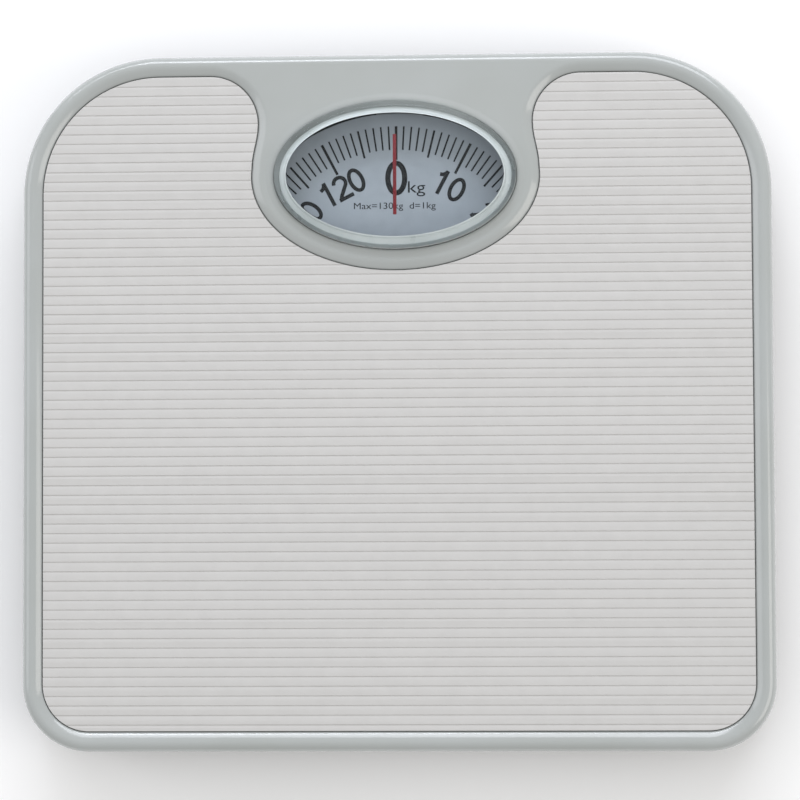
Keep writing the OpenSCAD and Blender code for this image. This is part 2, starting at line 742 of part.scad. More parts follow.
module platform_cover() {
    roll = 3.6;
    top = crown_z - roll;
    lip = 8;
    lip_end = 68;
    color("#bcbfbe") difference() {
        union() {
            swept(cover_w, cover_d) polygon(concat(
                [[sheet, skirt_z], [0, skirt_z]],
                arc([roll + 0.5, top], roll, 180, 90, 6),
                arc([roll + 0.5, crown_z - lip], lip, 90, lip_end, 3),
                [[rim_w - 0.6, well_z + 1.7], [rim_w - 0.4, well_z]],
                [[rim_w + 4, well_z], [rim_w + 4, well_z - sheet], [rim_w - 1.4, well_z - sheet]],
                arc([roll + 0.5, crown_z - lip], lip - sheet, lip_end, 90, 3),
                arc([roll + 0.5, top], roll - sheet, 90, 180, 6)
            ));
            translate([0, 0, well_z - sheet]) linear_extrude(sheet) plan(cover_w, cover_d, rim_w + 2);
            translate([0, 0, well_z - sheet]) linear_extrude(neck_z - well_z + sheet) intersection() {
                notch(-0.3);
                plan(cover_w, cover_d, roll + 1.4);
            }
            translate([0, 0, neck_z - sheet]) linear_extrude(sheet) intersection() {
                notch(-0.3);
                plan(cover_w, cover_d, roll);
            }
            translate([0, 0, neck_z - 0.5]) linear_extrude(1.4) oval(7);
        }
        translate([0, 0, well_z - 5]) linear_extrude(neck_z - sheet - well_z + 5) intersection() {
            notch(-0.3 - sheet);
            plan(cover_w, cover_d, roll + 1.2);
        }
        translate([0, 0, neck_z - 3]) linear_extrude(6) oval(0.4);
    }
}

module platform_mat() {
    color("#cac9ca") translate([0, 0, well_z]) linear_extrude(mat_t) difference() {
        plan(cover_w, cover_d, rim_w);
        notch();
    }
}

// Clear oval cap with a rounded shoulder and a flange under the cover, built up in level steps
module lens() {
    wall = 2;
    shoulder = 2.5;
    steps = 5;
    flange_top = neck_z - sheet - 0.05;
    flange_low = flange_top - 1.2;
    low = flange_low - 1;
    ledge_z = lens_top - shoulder;
    color([0.8, 0.85, 0.88, 0.5]) difference() {
        union() {
            translate([0, 0, flange_low]) linear_extrude(flange_top - flange_low) oval(3);
            translate([0, 0, flange_low]) linear_extrude(ledge_z - flange_low) oval();
            for (i = [1 : steps]) translate([0, 0, ledge_z - 0.1])
                linear_extrude(0.1 + shoulder * sin(90 * i / steps))
                    oval(-shoulder * (1 - cos(90 * (i - 0.5) / steps)));
        }
        translate([0, 0, low]) linear_extrude(ledge_z - 2 - low) oval(-wall);
        translate([0, 0, low]) linear_extrude(ledge_z - low) oval(-wall - 2);
    }
}

module index_pointer() {
    color("#a51428") translate([-pointer_w / 2, window_y - pointer_len / 2, lens_top - 2.5 - 0.45])
        cube([pointer_w, pointer_len, 0.4]);
}

// Ring that clamps the lens's flange up against the cover
ear_out = 4.1;
retainer_xy = [
    for (a = [0, 60, 120, 180, 270]) [(lens_a + ear_out) * cos(a), window_y + (lens_b + ear_out) * sin(a)]
];
module lens_retainer() {
    high = neck_z - sheet - 1.3;
    color("silver") translate([0, 0, high - 0.8]) linear_extrude(0.8) difference() {
        union() {
            oval(3.3);
            for (p = retainer_xy) translate(p) circle(r = 2.2);
        }
        oval(-1.6);
        for (p = retainer_xy) translate(p) circle(r = 0.95);
    }
}

module retainer_rivets() {
    color("gainsboro") for (p = retainer_xy) translate([p[0], p[1], 0]) {
        translate([0, 0, neck_z - sheet - 2.9]) cylinder(r = 1.7, h = 0.75);
        translate([0, 0, neck_z - sheet - 2.15]) cylinder(r = 0.9, h = 2.1);
    }
}

// Load bracket: a folded clevis under the cover that sits on a load pin
module bracket(x, y) {
    top = well_z - sheet;
    color("silver") translate([x, y, 0]) {
        ears(lever_z - 3, top, 10, false);
        translate([-ear_x - 1.5, -9, top - 1.5]) cube([2 * ear_x + 3, 18, 1.5]);
    }
}

module cover_spring_lugs() {
    color("silver") for (s = [-1, 1]) translate([s * cover_spring_x, 0, lug_z]) spring_tab(true);
}

base_pan();
foot(-foot_x, -foot_y);  // foot_front_left
foot(foot_x, -foot_y);  // foot_front_right
foot(-foot_x, foot_y);  // foot_rear_left
foot(foot_x, foot_y);  // foot_rear_right
post(-pin_x, -fulcrum_y);  // post_front_left
post(pin_x, -fulcrum_y);  // post_front_right
post(-pin_x, fulcrum_y);  // post_rear_left
post(pin_x, fulcrum_y);  // post_rear_right
post_rivets();
base_spring_hooks();
dial_bridge();
bridge_screws();
dial_bearing();
rack_guide();
rack_spring();
crank_bracket();
crank_pin();
crank_rivets();
spring_tower();
tower_screws();
cover_spring(-1);  // cover_spring_left
cover_spring(1);  // cover_spring_right
zero_wheel();
adjusting_screw();
screw_clip();
spring_hanger();
main_spring();
calibrating_plate();
long_lever();
long_fulcrum_pins();
long_load_pins();
long_nose_pin();
link_pin();
short_lever();
short_fulcrum_pins();
short_load_pins();
short_nose_pin();
lever_link();
bell_crank();
crank_drive_pin();
drive_rack();
dial_disc();
dial_hub();
dial_pinion();
dial_shaft();
dial_cap();
platform_cover();
platform_mat();
lens();
index_pointer();
lens_retainer();
retainer_rivets();
bracket(-pin_x, -load_y);  // bracket_front_left
bracket(pin_x, -load_y);  // bracket_front_right
bracket(-pin_x, load_y);  // bracket_rear_left
bracket(pin_x, load_y);  // bracket_rear_right
cover_spring_lugs();
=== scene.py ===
import bmesh
import bpy
import json
import math
from mathutils import Matrix, Vector


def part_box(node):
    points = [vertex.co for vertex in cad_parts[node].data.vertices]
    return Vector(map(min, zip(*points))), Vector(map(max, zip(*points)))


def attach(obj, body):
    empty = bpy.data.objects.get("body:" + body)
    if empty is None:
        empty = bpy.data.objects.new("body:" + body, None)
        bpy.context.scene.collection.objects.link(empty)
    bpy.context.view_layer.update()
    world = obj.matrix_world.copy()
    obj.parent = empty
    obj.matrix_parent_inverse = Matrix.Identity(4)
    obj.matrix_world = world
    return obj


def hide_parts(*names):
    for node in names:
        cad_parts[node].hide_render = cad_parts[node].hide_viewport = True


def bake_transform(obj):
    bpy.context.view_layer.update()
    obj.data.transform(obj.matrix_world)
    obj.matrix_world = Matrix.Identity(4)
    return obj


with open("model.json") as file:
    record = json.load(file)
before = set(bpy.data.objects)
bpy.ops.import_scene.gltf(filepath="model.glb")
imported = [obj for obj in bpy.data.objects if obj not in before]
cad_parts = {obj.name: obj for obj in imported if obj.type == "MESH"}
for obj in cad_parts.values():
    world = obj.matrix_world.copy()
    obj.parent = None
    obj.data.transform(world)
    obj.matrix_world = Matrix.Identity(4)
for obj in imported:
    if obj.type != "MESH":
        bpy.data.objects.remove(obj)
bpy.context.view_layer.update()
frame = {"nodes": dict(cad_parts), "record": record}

MM = 0.001
# Outline of the cover, in mm, and the heights that the looks share with the frame
HALF_W, HALF_D, REAR_R, FRONT_R = 140.0, 130.0, 52.0, 25.5
RIM = 8.2
CROWN_U, CROWN_Z = 4.1, 41.5
WELL_Z, MAT_TOP = 38.5, 40.2
LOBE_X, LOBE_R, LOBE_Y = 69.3, 18.0, 103.8
WINDOW_Y, LENS_A, LENS_B, LENS_TOP = 84.0, 45.0, 27.5, 46.5
BEZEL, NOTCH_A, NOTCH_B = 3.6, LENS_A + 8.9, LENS_B + 7.9
DIAL_Y, DIAL_TOP = 43.4, 32.0
TURN = 2 * math.pi


# ---------- Mesh helpers ----------

def deselect_all():
    if bpy.context.object and bpy.context.object.mode != "OBJECT":
        bpy.ops.object.mode_set(mode="OBJECT")
    bpy.ops.object.select_all(action="DESELECT")


def named(name):
    """Names the object that an operator has just added, and its mesh."""
    ob = bpy.context.object
    ob.name = name
    ob.data.name = name
    return ob


def edit(ob):
    deselect_all()
    ob.select_set(True)
    bpy.context.view_layer.objects.active = ob
    bpy.ops.object.mode_set(mode="EDIT")
    bpy.ops.mesh.select_all(action="DESELECT")
    return bmesh.from_edit_mesh(ob.data)


def done(ob, smooth_deg=None):
    bpy.ops.object.mode_set(mode="OBJECT")
    if smooth_deg is not None:
        bpy.ops.object.shade_smooth_by_angle(angle=math.radians(smooth_deg))
    return ob


def smooth(ob, degrees):
    """Smooth shading, with edges sharper than degrees kept crisp."""
    edit(ob)
    return done(ob, degrees)


def apply_modifier(ob, kind, **settings):
    deselect_all()
    ob.select_set(True)
    bpy.context.view_layer.objects.active = ob
    mod = ob.modifiers.new(kind.title(), kind)
    for key, value in settings.items():
        setattr(mod, key, value)
    bpy.ops.object.modifier_apply(modifier=mod.name)
    return ob


def skin(name, rings, caps=(False, False)):
    """A grid wrapped into closed rings, given in mm, then joined at its seam."""
    count, rows = len(rings[0]), len(rings)
    deselect_all()
    bpy.ops.mesh.primitive_grid_add(x_subdivisions=count, y_subdivisions=rows - 1, size=2)
    ob = named(name)
    bm = edit(ob)
    place = {}
    for v in bm.verts:
        i = round((v.co.x + 1) / 2 * count)
        j = round((v.co.y + 1) / 2 * (rows - 1))
        place[v] = (i % count, j)
    for v, (i, j) in place.items():
        v.co = Vector(rings[j][i]) * MM
    bmesh.update_edit_mesh(ob.data)
    bpy.ops.mesh.select_all(action="SELECT")
    bpy.ops.mesh.remove_doubles(threshold=2e-7)
    for wanted, ring in zip(caps, (rings[0], rings[-1])):
        if wanted:
            bpy.ops.mesh.select_all(action="DESELECT")
            bpy.ops.mesh.select_mode(type="EDGE")
            bm = bmesh.from_edit_mesh(ob.data)
            for e in bm.edges:
                if e.is_boundary and all(abs(v.co.z / MM - ring[0][2]) < 1e-3 for v in e.verts):
                    e.select_set(True)
            bpy.ops.mesh.edge_face_add()
    bpy.ops.mesh.select_all(action="SELECT")
    bpy.ops.mesh.normals_make_consistent(inside=False)
    bpy.ops.object.mode_set(mode="OBJECT")
    return ob


def ring_turned(section, centre, n=48):
    """Rings of a lathed shape about the Z axis through centre; section is [(radius, z)]."""
    return [[(centre[0] + r * math.cos(TURN * i / n), centre[1] + r * math.sin(TURN * i / n), z)
             for i in range(n)] for r, z in section]


def join(name, parts):
    deselect_all()
    for p in parts:
        p.select_set(True)
    bpy.context.view_layer.objects.active = parts[0]
    bpy.ops.object.join()
    return named(name)


# ---------- Outlines ----------

def arc_points(cx, cy, a, b, start, end, n):
    """Points along an elliptic arc from start to end, in degrees."""
    angles = [math.radians(start + (end - start) * i / n) for i in range(n + 1)]
    return [(cx + a * math.cos(t), cy + b * math.sin(t)) for t in angles]


def straight(p, q, n):
    """The points between p and q, without the ends."""
    return [(p[0] + (q[0] - p[0]) * i / n, p[1] + (q[1] - p[1]) * i / n) for i in range(1, n)]


def common_outline(inset):
    """The outline clockwise from the right lobe's top, round the front, to the left lobe's top."""
    x, y, r, f = HALF_W - inset, HALF_D - inset, REAR_R - inset, FRONT_R - inset
    top, right = (LOBE_X, y), arc_points(x - r, y - r, r, r, 90, 0, 28)
    low_right = arc_points(x - f, f - y, f, f, 0, -90, 18)
    low_left = arc_points(f - x, f - y, f, f, -90, -180, 18)
    left = arc_points(r - x, y - r, r, r, 180, 90, 28)
    last = (-LOBE_X, y)
    path = [top] + straight(top, right[0], 4) + right
    path += straight(right[-1], low_right[0], 24) + low_right
    path += straight(low_right[-1], low_left[0], 30) + low_left
    path += straight(low_left[-1], left[0], 24) + left
    return path + straight(left[-1], last, 4) + [last]


def rear_straight(inset):
    y = HALF_D - inset
    return straight((-LOBE_X, y), (LOBE_X, y), 40)


def notch_path(out):
    """From the left lobe's top round the window to the right lobe's top, without the ends.

    out is the distance from the mat's edge, away from the mat.
    """
    left = arc_points(-LOBE_X, LOBE_Y, LOBE_R + out, LOBE_R + out, 90, 0, 16)
    a, b = NOTCH_A - out, NOTCH_B - out
    oval = arc_points(0, WINDOW_Y, a, b, 175, 365, 64)
    p, q = left[-1], oval[0]
    # a gentle S between the lobe's arc and the oval
    ease = [(p[0] + (q[0] - p[0]) * (1 - math.cos(math.pi * t / 6)) / 2, p[1] + (q[1] - p[1]) * t / 6)
            for t in range(1, 6)]
    side = left[1:] + ease
    mirrored = [(-x, y) for x, y in reversed(side)]
    return side + oval + mirrored


def outline_ring(inset, z):
    return [(x, y, z) for x, y in common_outline(inset) + rear_straight(inset)]


def mat_ring(out, z):
    return [(x, y, z) for x, y in common_outline(RIM - out) + notch_path(out)]


def oval_ring(out, z, n=120):
    return [(x, y, z) for x, y in arc_points(0, WINDOW_Y, LENS_A + out, LENS_B + out, 0, 360, n)[:-1]]


# ---------- Cover ----------

def make_cover():
    roll = 3.6
    outer = [(0.0, 14.0), (0.05, 14.6), (0.15, 22.0), (0.35, 30.0), (0.45, 36.0)]
    outer += arc_points(CROWN_U, CROWN_Z - roll, roll, roll, 180, 90, 12)
    # from the mat's edge outwards and up to the crown
    inner = [(0.3, WELL_Z), (0.34, 39.3), (0.42, 39.75), (0.62, 40.05), (1.0, 40.32)]
    inner += [(1.6, 40.62), (2.3, 40.98), (3.0, 41.27), (3.6, 41.43), (RIM - CROWN_U, CROWN_Z)]
    # from the lens outwards: a low crowned lip round the window
    bezel = [(0.25, 40.6), (0.28, 41.3), (0.42, 41.68), (0.75, 41.88), (1.2, 41.95), (1.8, 41.9)]
    bezel += [(2.5, 41.72), (3.1, 41.56), (BEZEL, CROWN_Z)]
    roll_skin = skin("cover_roll", [outline_ring(u, z) for u, z in outer])
    well_skin = skin("cover_well", [mat_ring(e, z) for e, z in inner], caps=(True, False))
    bezel_skin = skin("cover_bezel", [oval_ring(c, z) for c, z in bezel])
    ob = join("cover_shell", [roll_skin, well_skin, bezel_skin])
    bm = edit(ob)
    bpy.ops.mesh.select_all(action="SELECT")
    bpy.ops.mesh.remove_doubles(threshold=2e-6)
    bpy.ops.mesh.select_all(action="DESELECT")
    bpy.ops.mesh.select_mode(type="EDGE")
    bm = bmesh.from_edit_mesh(ob.data)
    for e in bm.edges:
        if e.is_boundary and all(abs(v.co.z - CROWN_Z * MM) < 1e-6 for v in e.verts):
            e.select_set(True)
    bpy.ops.mesh.fill(use_beauty=True)
    # the fill also covers the window, which is cut out again
    bpy.ops.mesh.select_all(action="DESELECT")
    bpy.ops.mesh.select_mode(type="FACE")
    bm = bmesh.from_edit_mesh(ob.data)
    for f in bm.faces:
        c = f.calc_center_median() / MM
        inside = (c.x / (LENS_A + BEZEL)) ** 2 + ((c.y - WINDOW_Y) / (LENS_B + BEZEL)) ** 2 < 1
        f.select_set(inside and abs(f.normal.z) > 0.9999 and abs(c.z - CROWN_Z) < 1e-3)
    bpy.ops.mesh.delete(type="FACE")
    bpy.ops.mesh.select_all(action="SELECT")
    bpy.ops.mesh.normals_make_consistent(inside=False)
    bm = bmesh.from_edit_mesh(ob.data)
    level = [f for f in bm.faces if abs(f.calc_center_median().z - CROWN_Z * MM) < 1e-6]
    if max(level, key=lambda f: f.calc_area()).normal.z < 0:
        bpy.ops.mesh.flip_normals()
    bpy.ops.object.mode_set(mode="OBJECT")
    apply_modifier(ob, "SOLIDIFY", thickness=0.9 * MM, offset=-1, use_even_offset=False)
    return smooth(ob, 50)


def make_mat():
    # each groove has a long slope that faces the rear and a short one that faces the front
    pitch, groove = 3.55, [(-0.62, 0), (0.05, -0.24), (0.18, -0.24), (0.46, 0)]
    count = math.ceil(HALF_D / pitch)
    lines = [((k + 0.25) * pitch + dy, dz) for k in range(-count, count) for dy, dz in groove]
    lines = [(-HALF_D, 0)] + [p for p in lines if abs(p[0]) < HALF_D] + [(HALF_D, 0)]
    deselect_all()
    bpy.ops.mesh.primitive_grid_add(x_subdivisions=1, y_subdivisions=len(lines) - 1, size=2)
    slab = named("mat_ribs")
    bm = edit(slab)
    for v in bm.verts:
        y, dz = lines[round((v.co.y + 1) / 2 * (len(lines) - 1))]
        v.co = Vector((v.co.x * HALF_W, y, MAT_TOP + dz)) * MM
    bmesh.update_edit_mesh(slab.data)
    bpy.ops.mesh.select_all(action="SELECT")
    bpy.ops.mesh.extrude_region_move(TRANSFORM_OT_translate={"value": (0, 0, -3 * MM)})
    bm = bmesh.from_edit_mesh(slab.data)
    for v in bm.verts:
        if v.select:
            v.co.z = (MAT_TOP - 3) * MM
    bmesh.update_edit_mesh(slab.data)
    bpy.ops.mesh.select_all(action="SELECT")
    bpy.ops.mesh.normals_make_consistent(inside=False)
    done(slab)
    sides = [(0, WELL_Z + 0.02), (0, MAT_TOP - 0.1), (-0.1, MAT_TOP + 0.02), (-0.1, MAT_TOP + 2)]
    tool = skin("mat_outline", [mat_ring(out, z) for out, z in sides], caps=(True, True))
    apply_modifier(slab, "BOOLEAN", operation="INTERSECT", object=tool, solver="EXACT")
    bpy.data.objects.remove(tool)
    return smooth(slab, 20)


# ---------- Lens and dial ----------

def make_lens():
    shoulder = 2.9
    under = [(-4.9, 44.0), (-4.45, 43.98), (-4.05, 43.75), (-3.8, 43.3)]
    step = [(-3.7, 42.2), (-2.6, 41.9), (-2.1, 41.5), (-2.0, 38.97)]
    flange = [(3.0, 38.97), (3.0, 40.12), (0.0, 40.14)]
    over = arc_points(-shoulder, LENS_TOP - shoulder, shoulder, shoulder, 0, 90, 8)
    top = [(-shoulder - 0.6, LENS_TOP)]
    ob = skin("lens_cap", [oval_ring(c, z) for c, z in under + step + flange + over + top], caps=(True, True))
    return smooth(ob, 32)


def make_pointer():
    box_low, box_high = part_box("index_pointer")
    deselect_all()
    bpy.ops.mesh.primitive_cube_add(size=1)
    ob = named("pointer_line")
    bm = edit(ob)
    size, mid = box_high - box_low, (box_low + box_high) / 2
    for v in bm.verts:
        v.co = Vector(mid[k] + v.co[k] * size[k] for k in range(3))
    bmesh.update_edit_mesh(ob.data)
    bpy.ops.mesh.select_all(action="SELECT")
    bpy.ops.mesh.bevel(offset=0.12 * MM, segments=2)
    return done(ob, 40)


def tick_ring(name, count, outer, length, width, top):
    """One printed tick, arrayed round the dial."""
    deselect_all()
    bpy.ops.mesh.primitive_cube_add(size=1)
    ob = named(name)
    bm = edit(ob)
    for v in bm.verts:
        y, z = DIAL_Y + outer - length / 2 + v.co.y * length, DIAL_TOP + (top if v.co.z > 0 else -0.02)
        v.co = Vector((v.co.x * width, y, z)) * MM
    bmesh.update_edit_mesh(ob.data)
    done(ob)
    centre = Matrix.Translation((0, DIAL_Y * MM, 0))
    bpy.ops.object.empty_add()
    step = bpy.context.object
    step.matrix_world = centre @ Matrix.Rotation(TURN / count, 4, "Z") @ centre.inverted()
    bpy.context.view_layer.update()
    apply_modifier(ob, "ARRAY", count=count, use_relative_offset=False, use_object_offset=True,
                   offset_object=step)
    bpy.data.objects.remove(step)
    return ob


def ribbon(name, points, width, lift):
    """One printed stroke: a flat band along points, in mm; a band whose ends meet is closed."""
    closed = math.dist(points[0], points[-1]) < 1e-6
    last = len(points) - 1
    deselect_all()
    bpy.ops.mesh.primitive_grid_add(x_subdivisions=last, y_subdivisions=1, size=2)
    ob = named(name)
    bm = edit(ob)
    for v in bm.verts:
        i, side = round((v.co.x + 1) / 2 * last), v.co.y
        before, after = max(i - 1, 0), min(i + 1, last)
        if closed and i in (0, last):
            before, after = last - 1, 1
        dx, dy = points[after][0] - points[before][0], points[after][1] - points[before][1]
        k = side * width / 2 / math.hypot(dx, dy)
        v.co = Vector((points[i][0] - dy * k, points[i][1] + dx * k, DIAL_TOP + lift)) * MM
    bmesh.update_edit_mesh(ob.data)
    bpy.ops.mesh.select_all(action="SELECT")
    if closed:
        bpy.ops.mesh.remove_doubles(threshold=1e-7)
    bpy.ops.mesh.extrude_region_move(TRANSFORM_OT_translate={"value": (0, 0, -lift * MM)})
    bpy.ops.mesh.select_all(action="SELECT")
    bpy.ops.mesh.normals_make_consistent(inside=False)
    return done(ob)


def digit_strokes(digit):
    """The middle lines of a digit's strokes, on a height of 1; x is 0 at its middle."""
    a, low, high, bowl = 0.24, 0.075, 0.925, 0.25
    six = [arc_points(0, low + bowl, a, bowl, 0, 360, 22), arc_points(0, 0.44, a, high - 0.44, 180, 32, 12)]
    return {
        "0": [arc_points(0, 0.5, a, high - 0.5, 0, 360, 28)],
        "1": [[(0.07, 0), (0.07, 1)], [(-0.17, 0.75), (-0.05, 0.79), (0.03, 0.88), (0.07, 0.98)]],
        "2": [arc_points(0, 0.69, a, high - 0.69, 172, -32, 12) + [(-0.14, 0.22), (-a, low)],
              [(-0.31, low), (0.31, low)]],
        "3": [arc_points(0, 0.72, 0.21, high - 0.72, 158, -90, 12),
              arc_points(0, 0.295, a, 0.22, 90, -158, 12)],
        "4": [[(0.13, 0), (0.13, 1)], [(0.13, 0.95), (-0.27, 0.3)], [(-0.31, 0.28), (0.3, 0.28)]],
        "5": [[(0.25, high), (-0.18, high)], [(-0.17, high + 0.05), (-0.22, 0.47)],
              arc_points(0, low + 0.26, a, 0.26, 140, -155, 14)],
        "6": six,
        "7": [[(-0.29, high), (0.3, high)], [(0.27, high), (0.03, 0.5), (-0.08, 0)]],
        "8": [arc_points(0, 0.72, 0.2, high - 0.72, 0, 360, 20), arc_points(0, 0.295, a, 0.22, 0, 360, 22)],
        "9": [[(-x, 1 - y) for x, y in line] for line in six],
    }[digit]


def number(text, height, radius, clockwise_deg):
    """A printed number, upright at the pointer when the dial has turned by clockwise_deg."""
    a = -math.radians(clockwise_deg)
    # three digits are set closer, and a little to the left for their narrow first one
    advance, middle = (0.635, 1.14) if len(text) == 3 else (0.69, (len(text) - 1) / 2)
    parts = []
    for place, digit in enumerate(text):
        for k, line in enumerate(digit_strokes(digit)):
            points = []
            for x, y in line:
                x, y = (x + (place - middle) * advance) * height, (y - 0.5) * height + radius
                points.append((x * math.cos(a) - y * math.sin(a), DIAL_Y + x * math.sin(a) + y * math.cos(a)))
            parts.append(ribbon(f"number_{text}", points, 0.15 * height, 0.02 + 0.004 * k))
    return parts


def caption(name, body, height, width, radius, shift):
    """Small printed characters, upright under the zero."""
    deselect_all()
    bpy.ops.object.text_add()
    ob = bpy.context.object
    ob.data.body = body
    ob.data.resolution_u = 4
    ob.data.extrude = 0.5
    bpy.ops.object.convert(target="MESH")
    ob = named(name)
    xs, ys = [v.co.x for v in ob.data.vertices], [v.co.y for v in ob.data.vertices]
    wide, k = width / (max(xs) - min(xs)), height / max(ys)
    middle = (min(xs) + max(xs)) / 2
    for v in ob.data.vertices:
        x, y = (v.co.x - middle) * wide + shift, DIAL_Y + radius + (v.co.y - max(ys) / 2) * k
        v.co = Vector((x, y, DIAL_TOP + (0.02 if v.co.z > 0 else 0))) * MM
    return ob


def make_print():
    # how many in a turn, length, width and the ink's thickness, for each kind of tick
    kinds = [(130, 8.9, 0.62, 0.02), (26, 10.6, 0.78, 0.025), (13, 12.7, 1.0, 0.03)]
    ticks = [tick_ring(f"ticks_{130 // count}", count, 60.2, *kind) for count, *kind in kinds]
    words = number("0", 13.2, 40.6, 0)
    for n in range(10, 130, 10):
        words += number(str(n), 9.6, 42.4, n / 130 * 360)
    words.append(caption("unit", "kg", 4.3, 6.5, 37.2, 7.6))
    words.append(caption("capacity", "Max=130kg  d=1kg", 2.4, 30.7, 30.2, -0.6))
    return join("dial_ticks", ticks), join("dial_numbers", words)


# ---------- Springs and feet ----------

def wire(name, points, radius, sides=3):
    """A bent wire: a curve with a round bevel, turned into a mesh."""
    deselect_all()
    bpy.ops.curve.primitive_bezier_curve_add()
    ob = bpy.context.object
    ob.data.splines.clear()
    spline = ob.data.splines.new("POLY")
    spline.points.add(len(points) - 1)
    for p, q in zip(spline.points, points):
        p.co = (q[0] * MM, q[1] * MM, q[2] * MM, 1)
    ob.data.dimensions = "3D"
    ob.data.bevel_depth = radius * MM
    ob.data.bevel_resolution = sides
    ob.data.use_fill_caps = True
    bpy.ops.object.convert(target="MESH")
    ob = named(name)
    edit(ob)
    bpy.ops.mesh.select_all(action="SELECT")
    bpy.ops.mesh.normals_make_consistent(inside=False)
    return done(ob, 40)


def helix(r, low, high, turns, steps):
    n = round(turns * steps)
    turned = [TURN * i / steps for i in range(n + 1)]
    return [(r * math.cos(a), r * math.sin(a), low + (high - low) * i / n) for i, a in enumerate(turned)]


def spring_points(r, low_eye, coil_low, coil_high, high_eye, turns, steps=18):
    """A tension spring on the Z axis with a hook at each end."""
    e = 0.62 * r
    below = [(e * math.sin(math.radians(a)), 0, low_eye + e * 0.9 - e * math.cos(math.radians(a)))
             for a in range(200, -60, -20)]
    above = [(e * math.sin(math.radians(a)), 0, high_eye - e * 0.9 + e * math.cos(math.radians(a)))
             for a in range(-60, 201, 20)]
    body = helix(r, coil_low, coil_high, turns, steps)
    return below + body + above


def make_springs():
    made = []
    for name in ("left", "right"):
        low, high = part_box(f"cover_spring_{name}")
        x = (low.x + high.x) / 2
        shape = spring_points(3.5, 7.4, low.z / MM + 0.6, high.z / MM - 0.6, 34.9, 16)
        ob = wire(f"hold_down_spring_{name}", [(x / MM + p[0], p[1], p[2]) for p in shape], 0.45, 2)
        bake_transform(ob)
        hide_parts(f"cover_spring_{name}")
        made.append(ob)
    y = 119 * MM
    coil = helix(5.2, 23.75, 30.15, 3.5, 24)
    main = wire("weighing_spring", [(p[0], y / MM + p[1], p[2]) for p in coil], 0.82, 3)
    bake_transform(main)
    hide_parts("main_spring")
    x, z = 5 * MM, 26.75 * MM
    shape = spring_points(1.4, 10.6, 12.2, 25.6, 28.4, 14, 14)
    back = wire("return_spring", [(x / MM + p[0], p[2], z / MM + p[1]) for p in shape], 0.28, 2)
    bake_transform(back)
    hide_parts("rack_spring")
    return made + [main, back]


def make_feet():
    tread = [(0.01, 0.0), (3.2, 0.0), (3.6, 0.45), (4.4, 0.45), (4.8, 0.0), (7.6, 0.0), (8.4, 0.35)]
    edge = [(8.8, 1.0), (8.75, 1.9), (8.35, 2.1), (8.35, 2.5), (8.65, 2.7), (8.4, 3.95)]
    stem = [(3.0, 3.95), (3.0, 4.85), (4.5, 4.88), (3.4, 6.45), (0.01, 6.48)]
    for fy, front in ((-90, "front"), (90, "rear")):
        for fx, side in ((-118, "left"), (118, "right")):
            name = f"rubber_foot_{front}_{side}"
            ob = smooth(skin(name, ring_turned(tread + edge + stem, (fx, fy)), caps=(True, True)), 40)
            place(ob, "base", "foot_rubber", rubber, f"foot_{front}_{side}")


# ---------- Materials ----------

def linear(hex_colour):
    """An sRGB hex value as linear RGBA."""
    out = []
    for i in (0, 2, 4):
        c = int(hex_colour[i:i + 2], 16) / 255
        out.append(c / 12.92 if c <= 0.04045 else ((c + 0.055) / 1.055) ** 2.4)
    return (*out, 1.0)


class Maker:
    """Builds one material's node tree."""

    def __init__(self, name):
        self.mat = bpy.data.materials.new(name)
        self.mat.use_nodes = True
        self.tree = self.mat.node_tree
        self.tree.nodes.clear()

    def add(self, kind, settings=None, **links):
        """Adds a node. settings go on the node; links set its inputs, from values or other nodes' outputs."""
        node = self.tree.nodes.new("ShaderNode" + kind)
        for key, value in (settings or {}).items():
            setattr(node, key, value)
        for key, value in links.items():
            key = key.replace("_", " ")
            socket = next(s for s in node.inputs if s.name == key and s.enabled and not s.is_linked)
            if isinstance(value, bpy.types.NodeSocket):
                self.tree.links.new(value, socket)
            else:
                socket.default_value = value
        return node

    def ramp(self, fac, *stops):
        """stops: (position, hex colour) or (position, grey value)."""
        node = self.add("ValToRGB", Fac=fac)
        ramp = node.color_ramp
        while len(ramp.elements) < len(stops):
            ramp.elements.new(0.5)
        for element, (place, colour) in zip(ramp.elements, stops):
            element.position = place
            element.color = linear(colour) if isinstance(colour, str) else (colour, colour, colour, 1)
        return node.outputs["Color"]

    def noise(self, size_mm, detail=2.0, stretch=None):
        """Noise whose features are about size_mm across, in object coordinates."""
        at = self.add("TexCoord").outputs["Object"]
        if stretch:
            at = self.add("Mapping", Vector=at, Scale=stretch).outputs["Vector"]
        return self.add("TexNoise", Vector=at, Scale=1 / (size_mm * MM), Detail=detail).outputs["Fac"]

    def bump(self, height, depth_mm, strength=1.0, normal=None):
        links = {"Height": height, "Distance": depth_mm * MM, "Strength": strength}
        if normal:
            links["Normal"] = normal
        return self.add("Bump", **links).outputs["Normal"]

    def finish(self, surface):
        out = self.add("OutputMaterial")
        self.tree.links.new(surface, out.inputs["Surface"])
        return self.mat


def painted(name, base, deeper, rough, peel_depth, coat=0.0, spec=0.5):
    """Stoved enamel: an even colour with slight clouding, and an orange-peel surface a few mm across."""
    m = Maker(name)
    cloud = m.ramp(m.noise(38, 3), (0.35, deeper), (0.65, base))
    peel = m.bump(m.noise(3.2, 2), peel_depth)
    roughness = m.ramp(m.noise(16, 3), (0.3, rough * 0.85), (0.7, rough * 1.15))
    shader = m.add("BsdfPrincipled", Base_Color=cloud, Normal=peel, Roughness=roughness)
    shader.inputs["Specular IOR Level"].default_value = spec
    shader.inputs["Coat Weight"].default_value = coat
    shader.inputs["Coat Roughness"].default_value = 0.06
    return m.finish(shader.outputs["BSDF"])


